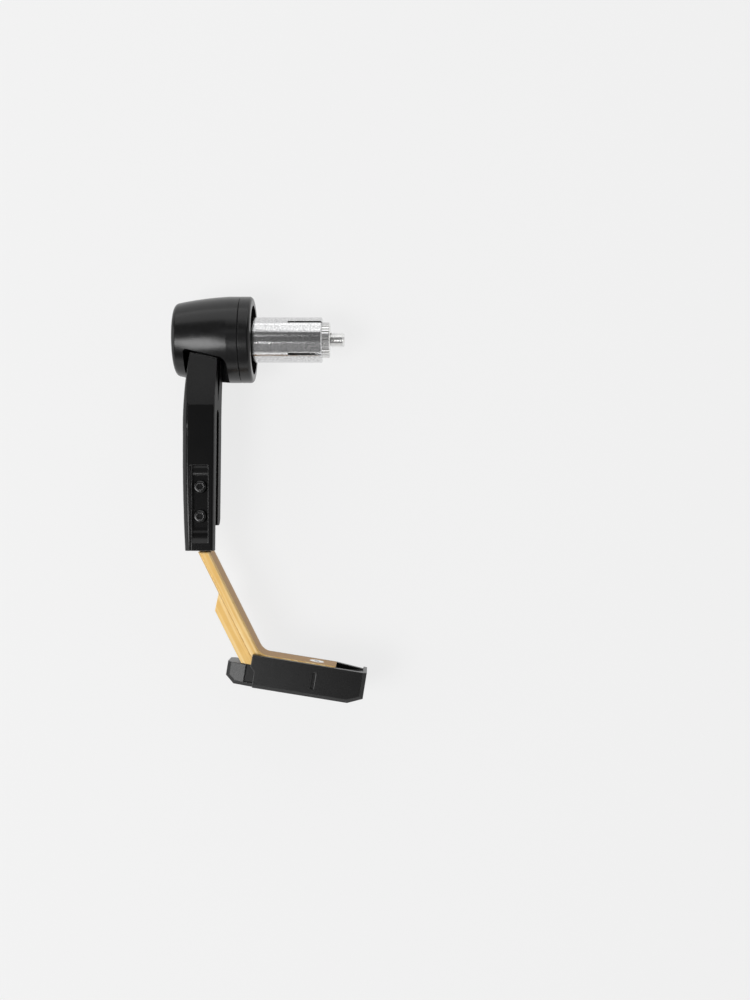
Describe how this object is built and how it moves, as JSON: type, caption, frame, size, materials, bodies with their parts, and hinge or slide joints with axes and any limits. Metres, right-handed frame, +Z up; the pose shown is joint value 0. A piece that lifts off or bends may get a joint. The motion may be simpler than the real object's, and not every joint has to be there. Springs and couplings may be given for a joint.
{
  "type": "brake lever guard",
  "caption": "Motorbike lever guard: black bar end with an expanding plug, curved black arm, gold sliding lower arm and a black shoe.",
  "frame": {"origin": "on the handlebar's axis, in the plane of the end ring's rim, where the handlebar's end comes to", "axes": "+X along the handlebar towards its middle, -Y towards the front along the arm, +Z up"},
  "size_m": [0.0726, 0.1525, 0.0326],
  "materials": {
    "black_anodised": "satin anodised",
    "gold_anodised": "satin anodised",
    "bright_aluminium": "turned",
    "bright_steel": "zinc plated",
    "black_steel": "blackened",
    "black_nylon": "fine moulded grain",
    "insert_brass": "plain"
  },
  "bodies": {
    "plug": {"expander_sleeve": "bright_aluminium"},
    "guard": {"bar_end": "black_anodised", "end_ring": "black_anodised", "bolt_washer": "bright_steel", "upper_arm": "black_anodised", "clamp_screw_upper": "black_steel", "clamp_screw_lower": "black_steel"},
    "blade": {"lower_arm": "gold_anodised", "end_shoe": "black_nylon", "shoe_screw": "bright_steel", "shoe_insert": "insert_brass"},
    "bolt": {"expander_bolt": "bright_steel"},
    "nut": {"cone_nut": "bright_steel"}
  },
  "joints": [
    {"name": "guard_turn", "type": "hinge", "parent": "plug", "child": "guard", "pos_m": [0, 0, 0], "axis": [-1, 0, 0], "continuous": true},
    {"name": "length_slide", "type": "slide", "parent": "guard", "child": "blade", "axis": [0, -1, 0], "range_m": [0, 0.01]},
    {"name": "bolt_turn", "type": "hinge", "parent": "plug", "child": "bolt", "pos_m": [0, 0, 0], "axis": [-1, 0, 0], "range_deg": [0, 1440]},
    {"name": "cone_slide", "type": "slide", "parent": "plug", "child": "nut", "axis": [1, 0, 0], "range_m": [0, 0.004]}
  ],
  "couplings": [
    {"joint": "cone_slide", "follows": "bolt_turn", "m_per_rad": 0.00015915}
  ]
}
